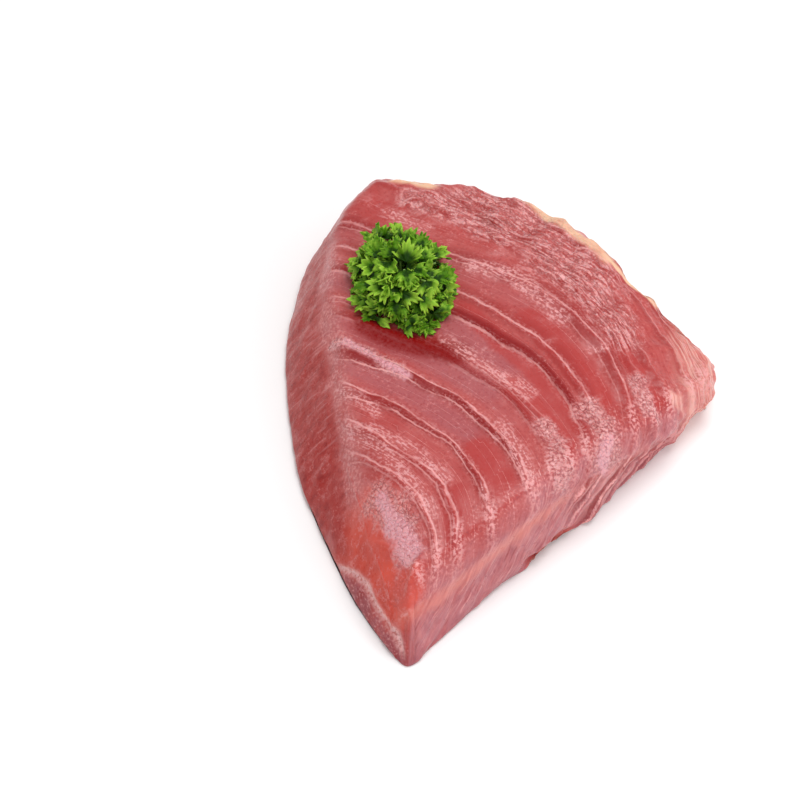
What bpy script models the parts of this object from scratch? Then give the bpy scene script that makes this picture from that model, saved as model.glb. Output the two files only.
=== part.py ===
"""Raw tuna steak lying flat, with a sprig of curly parsley resting on its upper face.

The steak is a thick slab cut from the loin. Its muscle bands fan out from the front tip, so the
slab is laid out on stations: each runs from the belly-side edge to the cut edge along one band.
Lengths are in metres. +X is to the right, +Y to the back and +Z up. The origin is the middle of
the bounding box at its base.
"""

import math

import bmesh
import bpy
import numpy as np
from mathutils import Vector

MM = 0.001

# Steak. It thins to the right between the END_REACH x, and to the tip between the TIP_REACH y.
THICKNESS = 24.5 * MM
END_DROP, END_REACH = 9.5 * MM, (18.0 * MM, 56.0 * MM)
TIP_DROP, TIP_REACH = 3.2 * MM, (-62.0 * MM, -34.0 * MM)
GROOVE_DEPTH = 0.5 * MM
GROOVE_FADE = (0.0, 0.12)

# The upper face bends down to the rim over these widths, to these slopes at the most. The front
# corner is rounded most, up to these places along.
FRONT_REACH, LEFT_REACH, BACK_REACH, CUT_REACH = 17.0 * MM, 7.5 * MM, 5.0 * MM, 6.5 * MM
STEEPEST_RIM, STEEPEST_FRONT = 2.6, 1.45
FRONT_ENDS = (0.04, 0.22)
RIM_HEIGHT = 0.85 * THICKNESS

# Walls. The cut side has slanting ridges, and the others are swollen.
BASE_INSET, BASE_ROUNDING = 1.2 * MM, (0.0, 0.2)
LEFT_BULGE, BACK_BULGE = 0.8 * MM, 1.0 * MM
BACK_BEGINS, BACK_ENDS = (0.6, 0.7), (0.9, 1.0)
RIDGE_DEPTH = 1.4 * MM
RIDGES = 8
RIDGE_SLANT = 1.3

# Cells along, across and up, and how much closer together those near both rims are.
CELLS_PER_BAND, CELLS_ACROSS, CELLS_UP = 4, 13, 5
RIM_CROWDING = 0.9
RIM_PLACES_PER_BAND, END_PLACES_PER_BAND = 20, 5

# One row for each station, from the front tip to the right-hand end, in millimetres:
# upper left edge x, y; upper right edge x, y; arc height; lower left edge x, y; lower right x, y.
STATIONS = (
    (-31.4, -57.6, -25.4, -60.8, -1.4, -29.8, -68.0, -25.0, -69.4),
    (-36.5, -43.5, -23.5, -60.0, 2.5, -41.5, -49.5, -23.4, -68.4),
    (-43.6, -16.5, -20.8, -58.0, 7.5, -54.0, -19.5, -19.4, -64.2),
    (-44.4, -9.0, -14.8, -53.6, 8.5, -56.8, -8.5, -12.1, -56.6),
    (-45.7, 2.5, -6.0, -46.5, 10.0, -58.8, 3.5, -3.1, -47.1),
    (-47.5, 16.0, 4.8, -37.0, 9.0, -60.3, 17.0, 7.4, -40.1),
    (-48.6, 24.0, 10.5, -32.2, 10.5, -60.8, 24.0, 12.9, -34.6),
    (-49.3, 32.5, 16.0, -28.0, 8.5, -60.7, 32.0, 17.9, -29.1),
    (-49.2, 40.0, 19.2, -25.4, 13.2, -60.0, 40.0, 20.9, -26.6),
    (-48.8, 50.6, 24.0, -21.9, 13.8, -58.0, 50.2, 24.9, -21.6),
    (-47.6, 58.0, 31.6, -15.8, 18.8, -55.4, 58.6, 31.4, -14.5),
    (-36.8, 75.0, 37.0, -11.0, 13.5, -43.6, 75.0, 36.3, -9.5),
    (-22.0, 73.5, 41.6, -6.6, 9.8, -22.8, 75.5, 40.7, -5.0),
    (-4.0, 69.8, 48.3, 0.5, 8.0, -4.2, 71.5, 46.6, 2.2),
    (19.4, 56.4, 51.3, 3.6, 4.5, 19.9, 57.7, 49.9, 5.9),
    (36.6, 37.6, 53.2, 5.2, 1.8, 37.4, 38.6, 52.0, 8.3),
    (54.9, 17.0, 54.4, 6.8, 0.4, 55.4, 18.0, 53.6, 9.4),
)
BANDS = len(STATIONS) - 1
ARC_PEAK = 0.6

# Parsley
SPRIG_CENTRE = Vector((-27.1, 29.5)) * MM
SPRIG_GAP = 0.35 * MM
SEAT_RADIUS = 17.0 * MM
# Rings of leaf heads: how many, how far out and how far up their centres lie.
LEAF_RINGS = ((1, 0.0, 10.0 * MM), (5, 5.2 * MM, 8.2 * MM), (9, 10.6 * MM, 3.8 * MM))
LEAF_RADIUS, LEAF_VARIES, REACH_VARIES = 5.3 * MM, 0.14, 0.1
RING_STAGGER = 0.35
LEAF_FLATNESS = 0.6
LEAF_TEETH = 7
TOOTH_DEPTH = 0.24
STRETCH_BACK = 1.16
FUSING_SIZE = 1.2 * MM

FLESH_COLOUR = (0.52, 0.105, 0.1, 1.0)
LEAF_COLOUR = (0.075, 0.17, 0.02, 1.0)


def clear_scene():
    for obj in list(bpy.data.objects):
        bpy.data.objects.remove(obj, do_unlink=True)


def collection(name):
    made = bpy.data.collections.new(name)
    bpy.context.scene.collection.children.link(made)
    return made


def material(name, colour, roughness):
    made = bpy.data.materials.new(name)
    made.use_nodes = True
    shader = made.node_tree.nodes["Principled BSDF"]
    shader.inputs["Base Color"].default_value = colour
    shader.inputs["Roughness"].default_value = roughness
    shader.inputs["Metallic"].default_value = 0.0
    return made


def ease(low, high, value):
    f = np.clip((value - low) / (high - low), 0.0, 1.0)
    return f * f * (3 - 2 * f)


def spline(rows, place):
    """Catmull-Rom curve through the rows, at places from 0 at the first to 1 at the last."""
    rows = np.asarray(rows, float)
    position = np.clip(place, 0.0, 1.0) * (len(rows) - 1)
    first = np.minimum(position.astype(int), len(rows) - 2)
    f = (position - first)[:, None]
    before, start, end, after = (
        rows[np.clip(first + step, 0, len(rows) - 1)] for step in (-1, 0, 1, 2)
    )
    return 0.5 * (
        2 * start
        + (end - before) * f
        + (2 * before - 5 * start + 4 * end - after) * f**2
        + (3 * start - before - 3 * end + after) * f**3
    )


def arc(across):
    """Height of a band's arc, 1 at ARC_PEAK and 0 at both edges."""
    lean = ARC_PEAK / (1 - ARC_PEAK)
    return across**lean * (1 - across) / (ARC_PEAK**lean * (1 - ARC_PEAK))


def across_direction(left, right):
    chord = right - left
    return chord / np.maximum(np.linalg.norm(chord, axis=1, keepdims=True), 0.001 * MM)


def plan(left, right, height, across):
    """Points across the stations in plan, on arcs that bow away from the front tip."""
    direction = across_direction(left, right)
    outward = np.stack((-direction[:, 1], direction[:, 0]), 1)
    return left + across[:, None] * (right - left) + outward * (height * arc(across))[:, None]


def upper_plan(along, across):
    row = spline(STATIONS, along) * MM
    return plan(row[:, 0:2], row[:, 2:4], row[:, 4], across)


def lower_plan(along, across):
    row = spline(STATIONS, along) * MM
    return plan(row[:, 5:7], row[:, 7:9], row[:, 4], across)


def rim_places():
    """Places along and across, all round the rim of the upper face."""
    long = np.linspace(0, 1, RIM_PLACES_PER_BAND * BANDS)
    short = np.linspace(0, 1, END_PLACES_PER_BAND * BANDS)
    along = np.concatenate((long, long, 0 * short, 0 * short + 1))
    across = np.concatenate((0 * long, 0 * long + 1, short, short))
    return along, across


def rim_shape(along, across):
    """How far in from the rim the upper face bends down, and its slope at the rim."""
    front = (1 - ease(*FRONT_ENDS, along)) * (1 - across)
    left = LEFT_REACH + (BACK_REACH - LEFT_REACH) * ease(*BACK_BEGINS, along)
    reach = left + (CUT_REACH - left) * across
    reach = reach + (FRONT_REACH - reach) * front
    drift = lower_plan(along, across) - upper_plan(along, across)
    lean = np.linalg.norm(drift, axis=1) / RIM_HEIGHT
    steepest = STEEPEST_RIM + (STEEPEST_FRONT - STEEPEST_RIM) * front
    return reach, 1 / np.maximum(lean, 1 / steepest)


def upper_height(flat):
    """Height of the upper face over points in plan: flat, thinned, and bent down to the rim."""
    thinned = END_DROP * ease(*END_REACH, flat[:, 0])
    rolled = TIP_DROP * (1 - ease(*TIP_REACH, flat[:, 1]))
    places = rim_places()
    rim = upper_plan(*places)
    reaches, slopes = rim_shape(*places)
    gaps = np.linalg.norm(flat[:, None] - rim[None], axis=2)
    nearest = gaps.argmin(1)
    reach, slope = reaches[nearest], slopes[nearest]
    inside = np.clip(reach - gaps.min(1), 0.0, None)
    return THICKNESS - thinned - rolled - slope * inside**3 / (3 * reach**2)


def groove(along, across):
    """Depth of the grooves between bands, which fade out at the rim."""
    band = np.abs(np.sin(math.pi * along * BANDS))
    inner = ease(*GROOVE_FADE, across) * ease(*GROOVE_FADE, 1 - across)
    return GROOVE_DEPTH * (1 - band) * inner


def upper_points(along, across):
    flat = upper_plan(along, across)
    z = upper_height(flat) - groove(along, across)
    return np.column_stack((flat, z))


def wall_push(along, across, up):
    """How far a long wall stands out: swollen behind, ridged slantwise on the cut side."""
    behind = ease(*BACK_BEGINS, along) * (1 - ease(*BACK_ENDS, along))
    swelling = LEFT_BULGE + (BACK_BULGE - LEFT_BULGE) * behind
    wave = np.sin(math.pi * (along * RIDGES - RIDGE_SLANT * up)) ** 2
    swollen = -swelling * np.sin(math.pi * up) * (across == 0.0)
    ridged = RIDGE_DEPTH * (wave - 0.5) * (1 - up**2) * (across == 1.0)
    return swollen + ridged + base_inset(across, up)


def base_inset(across, up):
    """Draws the foot of both long walls in."""
    inward = (across == 0.0) * 1.0 - (across == 1.0) * 1.0
    return inward * BASE_INSET * (1 - ease(*BASE_ROUNDING, up))


def wall_points(along, across, up):
    upper, lower = upper_plan(along, across), lower_plan(along, across)
    ends = np.zeros(len(along)), np.ones(len(along))
    direction = across_direction(lower_plan(along, ends[0]), lower_plan(along, ends[1]))
    push = direction * wall_push(along, across, up)[:, None]
    flat = lower + (upper - lower) * up[:, None] + push
    return np.column_stack((flat, upper_height(upper) * up))


def steak_points(along, across, up):
    """Maps points on the surface of the unit cube to the steak's surface."""
    top = (up == 1.0)[:, None]
    return np.where(top, upper_points(along, across), wall_points(along, across, up))


def crowded(place, crowding):
    """Moves evenly spaced places towards the nearer end, the more the higher crowding is."""
    return place + ((1 - np.cos(math.pi * place)) / 2 - place) * crowding


def cut_cube(bm, cuts, axis):
    edges = [
        edge
        for edge in bm.edges
        if abs((edge.verts[1].co - edge.verts[0].co)[axis]) > 0.5
    ]
    bmesh.ops.subdivide_edges(bm, edges=edges, cuts=cuts - 1, use_grid_fill=True)


def unit_cube(bm, segments):
    """A cube from 0 to 1 whose faces are grids of these numbers of segments."""
    bmesh.ops.create_cube(bm, size=1.0)
    bmesh.ops.translate(bm, verts=bm.verts, vec=(0.5, 0.5, 0.5))
    for axis, count in enumerate(segments):
        cut_cube(bm, count, axis)


def plan_centre(bm):
    """Middle of the mesh's bounding box in plan."""
    middle = [
        (min(v.co[axis] for v in bm.verts) + max(v.co[axis] for v in bm.verts)) / 2
        for axis in (0, 1)
    ]
    return Vector(middle).to_3d()


def make_steak(target):
    bm = bmesh.new()
    unit_cube(bm, (CELLS_PER_BAND * BANDS, CELLS_ACROSS, CELLS_UP))
    along, across, up = np.array([vert.co for vert in bm.verts]).round(5).T
    points = steak_points(along, crowded(across, RIM_CROWDING), up)
    for vert, point in zip(bm.verts, points):
        vert.co = point
    bmesh.ops.translate(bm, verts=bm.verts, vec=-plan_centre(bm))
    bmesh.ops.recalc_face_normals(bm, faces=bm.faces)
    return finish(bm, "tuna_steak", target, material("raw_tuna", FLESH_COLOUR, 0.3))


def finish(bm, name, target, look):
    mesh = bpy.data.meshes.new(name)
    bm.to_mesh(mesh)
    bm.free()
    mesh.materials.append(look)
    mesh.shade_smooth()
    mesh.set_sharp_from_angle(angle=math.radians(50))
    obj = bpy.data.objects.new(name, mesh)
    target.objects.link(obj)
    return obj


def add_leaf(bm, centre, radius, facing, turn):
    """One curly leaf head: a flattened ball whose rim is drawn out into teeth."""
    leaf = bmesh.ops.create_icosphere(bm, subdivisions=3, radius=1.0)["verts"]
    for vert in leaf:
        angle = math.atan2(vert.co.y, vert.co.x)
        rim = 1 - abs(vert.co.z)
        reach = radius * (1 + TOOTH_DEPTH * rim * math.cos(LEAF_TEETH * angle + turn))
        vert.co = vert.co * reach
        vert.co.z *= LEAF_FLATNESS
    tilt = Vector((0, 0, 1)).rotation_difference(facing).to_matrix()
    bmesh.ops.rotate(bm, verts=leaf, cent=(0, 0, 0), matrix=tilt)
    bmesh.ops.translate(bm, verts=leaf, vec=centre)


def add_leaf_ring(bm, ring, count, reach, lift):
    for i in range(count):
        turn = 2 * math.pi * (i + RING_STAGGER * ring) / count
        size = LEAF_RADIUS * (1 + LEAF_VARIES * math.sin(3.7 * i + 2.1 * ring))
        out = reach * (1 + REACH_VARIES * math.sin(2.3 * i + ring))
        side = Vector((math.cos(turn), math.sin(turn), 0))
        facing = side * reach + Vector((0, 0, LEAF_RINGS[-1][1]))
        add_leaf(bm, side * out + Vector((0, 0, lift)), size, facing, 2 * turn)


def make_cutter(helpers, top_centre):
    size = 6 * SEAT_RADIUS
    bm = bmesh.new()
    bmesh.ops.create_cube(bm, size=size)
    cutter = finish(bm, "sprig_base_cutter", helpers, None)
    cutter.location = top_centre - Vector((0, 0, size / 2))
    cutter.hide_render = True
    cutter.display_type = "WIRE"
    return cutter


def make_sprig(target, helpers, rest_height):
    """Rings of leaf heads on a low dome, fused into one body and cut flat where it rests."""
    bm = bmesh.new()
    for ring, (count, reach, lift) in enumerate(LEAF_RINGS):
        add_leaf_ring(bm, ring, count, reach, lift)
    bmesh.ops.scale(bm, verts=bm.verts, vec=(1.0, STRETCH_BACK, 1.0))
    sprig = finish(bm, "parsley_sprig", target, material("parsley_leaf", LEAF_COLOUR, 0.5))
    sprig.location = Vector((*SPRIG_CENTRE, rest_height))
    fuse = sprig.modifiers.new("Fuse", "REMESH")
    fuse.mode = "VOXEL"
    fuse.voxel_size = FUSING_SIZE
    flat = sprig.modifiers.new("Flat base", "BOOLEAN")
    flat.operation = "DIFFERENCE"
    flat.object = make_cutter(helpers, sprig.location)


def height_under(steak, centre, radius):
    """Highest point of the steak within this distance of the centre in plan."""
    near = [v.co.z for v in steak.data.vertices if (v.co.xy - centre).length < radius]
    return max(near)


def main():
    clear_scene()
    parts = collection("Raw tuna steak")
    helpers = collection("Cutters")
    steak = make_steak(parts)
    seat = height_under(steak, SPRIG_CENTRE, SEAT_RADIUS)
    make_sprig(parts, helpers, seat + SPRIG_GAP)


main()
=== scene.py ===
"""Looks of a raw tuna steak with a sprig of curly parsley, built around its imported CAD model.

Lengths are in metres unless a name or comment says millimetres. The camera looks along +Y. The
steak's muscle bands fan out from the front tip, so its surface is laid out on stations: each runs
along one seam between two bands, from the left or back edge to the cut edge on the right. "along"
runs from 0 at the tip to 1 at the right-hand end, "across" from 0 on the left and back edge to 1
on the cut edge.
"""

import math
from types import SimpleNamespace

import bpy
import numpy as np
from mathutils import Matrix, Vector

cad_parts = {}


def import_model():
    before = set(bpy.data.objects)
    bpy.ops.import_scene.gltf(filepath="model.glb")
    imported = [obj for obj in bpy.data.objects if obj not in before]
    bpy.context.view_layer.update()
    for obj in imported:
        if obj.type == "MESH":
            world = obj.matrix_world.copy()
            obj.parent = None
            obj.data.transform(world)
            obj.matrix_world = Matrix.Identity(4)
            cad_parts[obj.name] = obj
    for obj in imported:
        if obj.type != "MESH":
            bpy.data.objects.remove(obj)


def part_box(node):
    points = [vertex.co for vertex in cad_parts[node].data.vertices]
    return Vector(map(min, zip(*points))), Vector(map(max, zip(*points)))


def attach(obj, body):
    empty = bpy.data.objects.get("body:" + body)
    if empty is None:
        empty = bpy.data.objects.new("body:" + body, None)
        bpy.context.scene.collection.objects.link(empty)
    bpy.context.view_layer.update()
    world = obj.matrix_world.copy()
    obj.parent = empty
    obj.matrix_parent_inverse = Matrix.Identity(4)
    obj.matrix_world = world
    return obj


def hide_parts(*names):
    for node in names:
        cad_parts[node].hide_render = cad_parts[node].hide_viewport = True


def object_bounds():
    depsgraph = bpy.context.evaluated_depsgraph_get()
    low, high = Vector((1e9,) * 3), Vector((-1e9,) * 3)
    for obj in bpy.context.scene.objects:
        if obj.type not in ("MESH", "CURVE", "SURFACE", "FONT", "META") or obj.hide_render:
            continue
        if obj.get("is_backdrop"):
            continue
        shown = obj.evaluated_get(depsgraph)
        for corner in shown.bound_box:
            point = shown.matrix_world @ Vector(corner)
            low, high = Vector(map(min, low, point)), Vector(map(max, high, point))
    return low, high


MM = 0.001

# Camera: the point it looks at on the floor, its height angle, its distance and its lens.
AIM = Vector((-26.6, 9.3, 0.0)) * MM
ELEVATION = math.radians(52)
DISTANCE = 541 * MM
LENS = 90

# Lights: direction, distance and size in metres, and power in watts. The world lights all round.
SOFTBOXES = {
    "key": ((0.20, 0.22, 1.0), 0.9, (0.50, 0.42), 4.3),
    "fill": ((0.9, -0.7, 0.5), 1.2, (0.9, 0.9), 4.6),
}
WORLD_LIGHT = 0.64
# The floor's reach each way, in metres.
FLOOR_REACH = 3.0

# One row for each station, from the front tip to the right-hand end, in millimetres:
# upper left edge x, y; upper right edge x, y; arc height; lower left edge x, y; lower right x, y.
STATIONS = (
    (-31.4, -57.6, -25.4, -60.8, -1.4, -29.8, -68.0, -25.0, -69.4),
    (-36.5, -43.5, -23.5, -60.0, 2.5, -41.5, -49.5, -23.4, -68.4),
    (-43.6, -16.5, -20.8, -58.0, 7.5, -54.0, -19.5, -19.4, -64.2),
    (-44.4, -9.0, -14.8, -53.6, 8.5, -56.8, -8.5, -12.1, -56.6),
    (-45.7, 2.5, -6.0, -46.5, 10.0, -58.8, 3.5, -3.1, -47.1),
    (-47.5, 16.0, 4.8, -37.0, 9.0, -60.3, 17.0, 7.4, -40.1),
    (-48.6, 24.0, 10.5, -32.2, 10.5, -60.8, 24.0, 12.9, -34.6),
    (-49.3, 32.5, 16.0, -28.0, 8.5, -60.7, 32.0, 17.9, -29.1),
    (-49.2, 40.0, 19.2, -25.4, 13.2, -60.0, 40.0, 20.9, -26.6),
    (-48.8, 50.6, 24.0, -21.9, 13.8, -58.0, 50.2, 24.9, -21.6),
    (-47.6, 58.0, 31.6, -15.8, 18.8, -55.4, 58.6, 31.4, -14.5),
    (-36.8, 75.0, 37.0, -11.0, 13.5, -43.6, 75.0, 36.3, -9.5),
    (-22.0, 73.5, 41.6, -6.6, 9.8, -22.8, 75.5, 40.7, -5.0),
    (-4.0, 69.8, 48.3, 0.5, 8.0, -4.2, 71.5, 46.6, 2.2),
    (19.4, 56.4, 51.3, 3.6, 4.5, 19.9, 57.7, 49.9, 5.9),
    (36.6, 37.6, 53.2, 5.2, 1.8, 37.4, 38.6, 52.0, 8.3),
    (54.9, 17.0, 54.4, 6.8, 0.4, 55.4, 18.0, 53.6, 9.4),
)
BANDS = len(STATIONS) - 1
# Where across the steak the bands' arcs are highest, and where lengths along it are measured.
ARC_PEAK, RUN_ACROSS = 0.6, 0.35

# The steak thins to the right between these x, and to the front tip between these y.
END_DROP, END_REACH = 9.5 * MM, (18.0 * MM, 56.0 * MM)
TIP_DROP, TIP_REACH = 3.2 * MM, (-62.0 * MM, -34.0 * MM)
# How far in from each edge the upper face begins to bend down, and its steepest slope at the rim.
FRONT_REACH, LEFT_REACH, BACK_REACH, CUT_REACH = 17.0 * MM, 7.5 * MM, 5.0 * MM, 6.5 * MM
STEEPEST_RIM, STEEPEST_FRONT = 2.6, 1.45
# The walls' height as a share of the thickness, where their lean is worked out.
RIM_SHARE = 0.85
# The front's edge gives way to the left's between these places along, and the left's to the back's.
FRONT_ENDS, BACK_BEGINS = (0.04, 0.22), (0.6, 0.7)
# Rounding at the foot of the walls, and how far the left and the back wall swell.
BASE_RADIUS, LEFT_BULGE, BACK_BULGE = 1.6 * MM, 0.8 * MM, 1.0 * MM
# How two edges' roundings join where they meet: 1 adds them, and a high value takes the larger.
CORNER_NORM = 4
# The left side turns into the cut side between these differences of the distances to them.
CORNER_BLEND = (-6 * MM, 5 * MM)

# A lip along the base of the cut side: its middle from the tip, half length, height and reach.
LIP = (43.0 * MM, 8.5 * MM, 5.5 * MM, 3.0 * MM)
# A pale ridge low on the left side near the tip, in millimetres: its height at each of these y, its
# half width and how far it stands out.
FLARE_PLACES = (-72, -68, -60, -55, -50, -46, -43)
FLARE_HEIGHTS = (3.0, 6.3, 7.0, 7.6, 5.5, 2.2, -1.0)
FLARE_WIDTH, FLARE_RISE = 1.2, 0.7

# Cells of the mesh along, across and up the walls. The underside's cells are COARSE times larger.
CELLS_ALONG, CELLS_ACROSS, CELLS_UP, COARSE = 320, 152, 36, 4
# How much closer together the cells lie on the seams, and at the ends of rows across and up.
SEAM_CROWDING, RIM_CROWDING, WALL_CROWDING, UNDER_CROWDING = 0.6, 0.6, 0.3, 0.2
# How far the underside's grid stays in from its edge, as shares of the length and the width.
UNDER_MARGINS = (0.015, 0.03)
# Rounds of smoothing of the surface, the walls' lean, the rim's shape and outward directions.
SMOOTHING_ROUNDS, LEAN_ROUNDS, RIM_ROUNDS, OUTWARD_ROUNDS = 26, 30, 20, 6

# On the cut side, the seams slide towards the tip as they go down: by this much for each
# millimetre of depth, at these distances from the tip. Beyond RIBS_BEGIN they stand out as ribs.
SLIDE = (1.1, 1.0, 1.65)
SLIDE_PLACES = (40 * MM, 68 * MM, 95 * MM)
RIBS_BEGIN = (44 * MM, 56 * MM)

# Seams by station, in millimetres: strength of the pale line, partly white seam tissue and partly
# painted highlight, then depth of the dark groove before it and the groove's width at the left and
# at the right.
SEAMS = {
    1: (0.15, 0.10, 1.5, 0.8),
    2: (0.90, 0.25, 1.6, 1.0),
    3: (1.00, 0.30, 2.0, 1.2),
    4: (0.90, 0.45, 3.0, 1.6),
    5: (1.00, 0.55, 3.6, 1.0),
    6: (0.35, 0.00, 1.0, 1.0),
    7: (0.60, 0.20, 1.5, 1.5),
    8: (0.90, 0.00, 1.0, 1.0),
    9: (0.85, 0.25, 1.2, 1.5),
    10: (0.80, 0.35, 1.2, 3.0),
    11: (0.30, 0.20, 1.2, 3.5),
    12: (0.30, 0.22, 1.2, 2.5),
    13: (0.40, 0.25, 1.2, 1.8),
    14: (0.60, 0.30, 1.2, 1.5),
    15: (0.50, 0.25, 1.2, 1.5),
}
# Dark ledges after some seams: depth, and width at the left and at the right.
LEDGES = {6: (0.45, 3.5, 2.0), 8: (0.60, 3.5, 3.5), 9: (0.20, 3.0, 3.0), 10: (0.30, 2.5, 3.0)}
NO_LEDGE = (0.0, 1.0, 1.0)
# Strength of the second pale line, partly painted highlight, on the far side of the groove, and how
# far all lines stray.
TWINS = {2: 0.5, 3: 0.6, 4: 0.9, 5: 0.9, 7: 0.4, 10: 0.5}
SEAM_WANDER = 0.6 * MM
# Bands that turn greyish towards the next seam, and how much.
GREY_BANDS = {4: 0.4, 5: 0.8, 7: 1.0, 9: 0.4}

# The steak's faces wind inwards, so its normals do too, and all relief goes the other way from its
# name: seam grooves and ledges stand up, and the lip, the ridge near the tip and the ribs sink in.

# Noise that shapes the surface, in millimetres: depth, size of its features and seed.
RELIEF = {
    "swell": (0.25, 16, 31),
    "fibres": (0.06, (6, 1.4, 4), 51),
    "layers": (0.35, (14, 2.6, 5), 61),
    "lumps": (0.45, 6, 63),
    "scallops": (0.6, 11, 65),
    "ripples": (0.35, (5, 5, 11), 67),
    "ragged": (1.1, 6, 68),
}
# Depths of the bands' pillows near the tip, what they gain further on, the ribs' steps and flakes.
PILLOW, MORE_PILLOW, LEDGE, FLAKE = 0.10 * MM, 0.35 * MM, 1.3 * MM, 0.22 * MM

# Wet patches that tip towards the front: centre, half length and half width in millimetres, turn
# and slope in degrees. They rise over TILT_RUN and level out beyond it.
PATCHES = (
    ((-27.0, -47.6), (15.0, 6.0), -68, 10),
    ((12.0, -25.0), (9.0, 4.0), -68, 12),
    ((24.0, -19.0), (11.0, 5.0), -75, 12),
    ((36.5, -4.0), (7.5, 3.0), -75, 12),
    ((-34.0, 6.0), (13.0, 3.0), -38, 12),
    ((10.5, 24.0), (9.0, 2.6), -48, 10),
    ((-4.0, 1.5), (11.0, 2.2), -40, 10),
)
TILT_RUN = 3.5 * MM

# Zones of the flesh: strengths at which they begin and are full, how far broad and fine noise move
# their edges, and strokes. A stroke is its half width, then points on its middle line, in
# millimetres.
ZONES = {
    # Wet patches: a real wet coat, and painted highlight in their colour.
    "gloss": (
        (0.20, 0.75, 0.4, 1.0),
        (4.6, (-32, -38), (-27, -46), (-24.5, -53)),
        (3.2, (10, -18), (12, -24), (14, -32)),
        (4.6, (21, -12), (25, -18), (26, -25)),
        (3.0, (35, -1), (37, -9)),
        (1.9, (-44, 11), (-36, 7), (-26, -1)),
    ),
    # A pale film of painted highlight over the front patch and a streak.
    "film": (
        (0.15, 0.80, 0.0, 0.7),
        (1.8, (-31.5, -38.5), (-28, -46)),
        (3.2, (-27.5, -47), (-24, -54)),
        (1.4, (26.0, -21), (24.5, -26)),
        (1.3, (-41, 10), (-34, 5), (-25, -2)),
    ),
    # Streaks of painted highlight, with bright specks.
    "streaked": (
        (0.15, 0.90, 0.5, 0.0),
        (2.0, (-42, -5), (-32, -14)),
        (2.4, (-40, -17), (-32, -24), (-24, -35), (-19, -44)),
        (2.0, (-34, -18), (-22, -26), (-15, -34)),
        (2.6, (-14, 10), (-4, 1), (6, -7)),
        (3.0, (-8, 36), (3, 33), (10, 26), (16, 18)),
        (2.4, (-1, -18), (3, -26), (6, -36)),
        (1.2, (-6, -37), (-5, -46)),
        (1.2, (23, 7), (27, 8)),
        (2.6, (-30, 56), (-20, 50)),
    ),
    "smooth": (
        (0.2, 0.6, 0.4, 0.0),
        (3.2, (-10, 21), (9, -1), (19, -18)),
        (4.2, (8, 17), (17, 4), (24, -8)),
        (3.4, (3, -6), (11, -17), (17, -27)),
        (3.0, (31, 10), (37, 1), (41, -7)),
        (4.0, (-7, -26), (-1, -37)),
        (2.6, (-15, -42), (-13, -53)),
        (2.2, (-12, -38), (-10, -47)),
    ),
    "flaky": (
        (0.10, 0.75, 0.5, 0.0),
        (4.8, (-23, 61), (-11, 56), (2, 47)),
        (9.0, (-3, 60), (12, 47), (24, 30)),
        (6.0, (19, 39), (26, 25), (31, 14)),
    ),
    # Painted shadow of the sprig, on the flesh beside and below it.
    "shade": ((0.1, 0.85, 0.0, 0.0), (4.4, (-35, 15), (-29, 11), (-21, 8), (-12, 6))),
    "fat": (
        (0.20, 0.95, 0.5, 0.0),
        (2.6, (8, 61), (16, 54), (24, 46), (29, 40)),
        (1.0, (29, 40), (37, 33), (42, 28)),
        (2.2, (-28, 69), (-23, 68), (-18, 66)),
    ),
    "end": ((0.1, 1.0, 0.4, 0.0), (6.5, (51, 16), (54, 6), (53, -3)), (2.0, (44, -4), (50, -3))),
    "bloom": ((0.2, 0.8, 0.6, 0.0), (8.0, (-34, -42), (-30, -52), (-27, -62))),
    # Along the rounded left shoulder: partly paler, drier flesh and partly painted highlight.
    "shoulder": (
        (0.1, 0.9, 1.0, 0.0),
        (4.0, (-46, 44), (-46, 29), (-45, 15), (-42, -1), (-41, -14), (-39, -26), (-36, -38)),
    ),
}
# Zones that stay on the upper face, and strokes of greyish flesh.
ON_TOP = ("gloss", "film", "streaked", "smooth", "flaky", "shade")
GREYISH = (
    (4.0, (-11, 13), (-5, 8), (1, 4)),
    (3.5, (-38, 1), (-24, -8), (-10, -20)),
    (3.0, (-30, 12), (-16, 4), (-4, -6)),
)

# Noise repeats after this many of its cells, and is shifted by more cells than lie below zero.
NOISE_CELLS = 64
NOISE_SHIFT = 200.0


# ---- maths


def ease(low, high, value):
    f = np.clip((value - low) / (high - low), 0.0, 1.0)
    return f * f * (3 - 2 * f)


def bell(value, middle, width):
    """1 at the middle, falling to a third at the width to either side."""
    return np.exp(-(((value - middle) / width) ** 2))


def spline(rows, place):
    """Catmull-Rom curve through the rows, at places from 0 at the first to 1 at the last."""
    rows = np.asarray(rows, float)
    position = np.clip(place, 0.0, 1.0) * (len(rows) - 1)
    first = np.minimum(position.astype(int), len(rows) - 2)
    f = (position - first)[..., None]
    before, start, end, after = (
        rows[np.clip(first + step, 0, len(rows) - 1)] for step in (-1, 0, 1, 2)
    )
    return 0.5 * (
        2 * start
        + (end - before) * f
        + (2 * before - 5 * start + 4 * end - after) * f**2
        + (3 * start - before - 3 * end + after) * f**3
    )


def noise(points, size, seed):
    """Smooth noise from -1 to 1 at the points, with features of about this size."""
    table = np.random.default_rng(seed).uniform(-1, 1, (NOISE_CELLS,) * 3)
    place = np.asarray(points) / np.asarray(size) + NOISE_SHIFT
    cell = np.floor(place).astype(int)
    f = place - cell
    f = f * f * (3 - 2 * f)
    total = 0.0
    for corner in np.ndindex(2, 2, 2):
        weight = np.prod(np.where(corner, f, 1 - f), axis=-1)
        x, y, z = np.moveaxis((cell + corner) % NOISE_CELLS, -1, 0)
        total = total + weight * table[x, y, z]
    return total


def layered_noise(points, size, seed, layers=3):
    """Noise with finer, weaker layers added."""
    return sum(
        noise(points, np.asarray(size) / 2**i, seed + i) / 2**i for i in range(layers)
    )


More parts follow.
